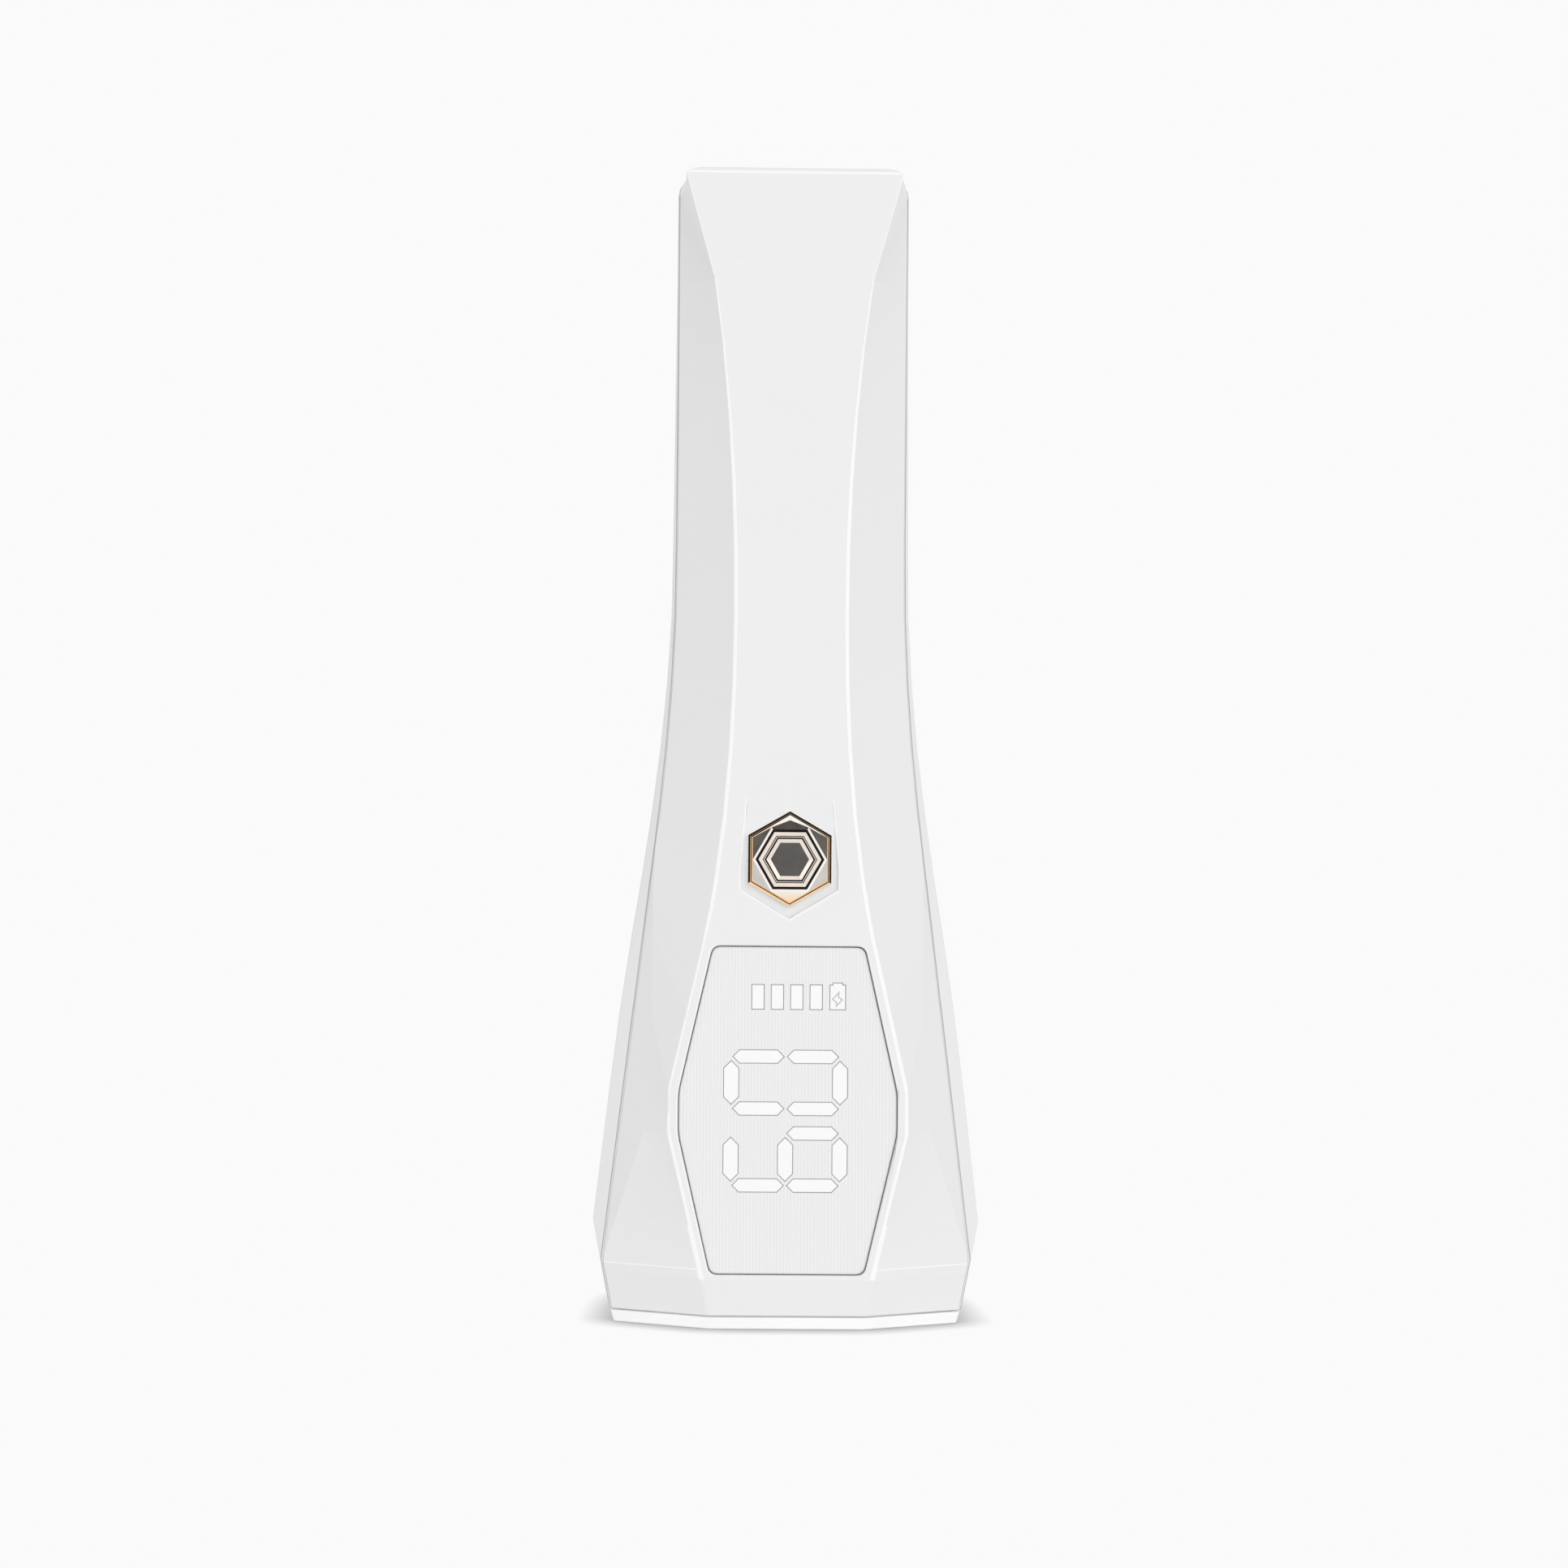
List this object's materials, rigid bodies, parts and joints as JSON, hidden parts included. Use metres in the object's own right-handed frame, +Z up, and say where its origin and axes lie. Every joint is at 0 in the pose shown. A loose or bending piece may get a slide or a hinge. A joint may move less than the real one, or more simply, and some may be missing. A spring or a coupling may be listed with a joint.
{
  "type": "led nail lamp",
  "caption": "Cordless wand-shaped nail curing lamp standing on its wide faceted head, with a display, a hexagonal push button and a lamp window in the back of the head.",
  "frame": {"origin": "middle of the underside of the foot, in the plane it stands on", "axes": "+Z up from the head to the tail of the handle, -Y the way the display and the button face, +X to the right seen from the front"},
  "size_m": [0.0636, 0.043, 0.19],
  "materials": {
    "shell": "satin white moulded plastic",
    "face": "pale grey printed face plate with fine upright lines",
    "light": "milky white light guide",
    "gold": "polished rose gold plating",
    "chrome": "dark chrome plating with faceted gem cut",
    "dark_plastic": "black moulded plastic",
    "brass": "turned brass",
    "board": "green solder mask",
    "white_board": "white solder mask on aluminium core",
    "aluminium": "extruded fins",
    "steel": "bright zinc plate",
    "reflector": "vacuum metallised reflector",
    "clear": "clear polycarbonate with a fine texture",
    "led": "yellow phosphor under a clear dome",
    "wrap": "shrink wrap",
    "foam": "closed-cell foam",
    "red_wire": "silicone sheath",
    "black_wire": "silicone sheath"
  },
  "bodies": {
    "housing": {"front_shell": "shell", "back_shell": "shell", "foot_plate": "shell", "display_face": "face", "segment_guide": "light", "button_bezel": "gold", "display_header": "dark_plastic", "tact_switch": "dark_plastic", "usb_tongue": "dark_plastic", "display_board": "board", "control_board": "board", "usb_board": "board", "lamp_board": "white_board", "heat_spreader": "aluminium", "battery_tab_plus": "steel", "battery_tab_minus": "steel", "usb_shell": "steel", "case_screw_1": "steel", "case_screw_2": "steel", "case_screw_3": "steel", "case_screw_4": "steel", "case_screw_5": "steel", "case_screw_6": "steel", "board_screw_1": "steel", "board_screw_2": "steel", "board_screw_3": "steel", "board_screw_4": "steel", "lamp_screw_1": "steel", "lamp_screw_2": "steel", "lamp_screw_3": "steel", "lamp_screw_4": "steel", "reflector_tray": "reflector", "lamp_cover": "clear", "lamp_led_01": "led", "lamp_led_02": "led", "lamp_led_03": "led", "lamp_led_04": "led", "lamp_led_05": "led", "lamp_led_06": "led", "lamp_led_07": "led", "lamp_led_08": "led", "lamp_led_09": "led", "lamp_led_10": "led", "lamp_led_11": "led", "lamp_led_12": "led", "battery_cell": "wrap", "foam_pad_1": "foam", "foam_pad_2": "foam", "battery_lead_red": "red_wire", "lamp_lead": "red_wire", "battery_lead_black": "black_wire", "usb_lead": "black_wire"},
    "button": {"button_cap": "chrome", "button_plunger": "dark_plastic", "switch_pin": "brass"}
  },
  "joints": [
    {"name": "button_press", "type": "slide", "parent": "housing", "child": "button", "axis": [0, 1, 0], "range_m": [0, 0.0005], "stiffness_N_per_m": 800, "springref_m": -0.001}
  ]
}
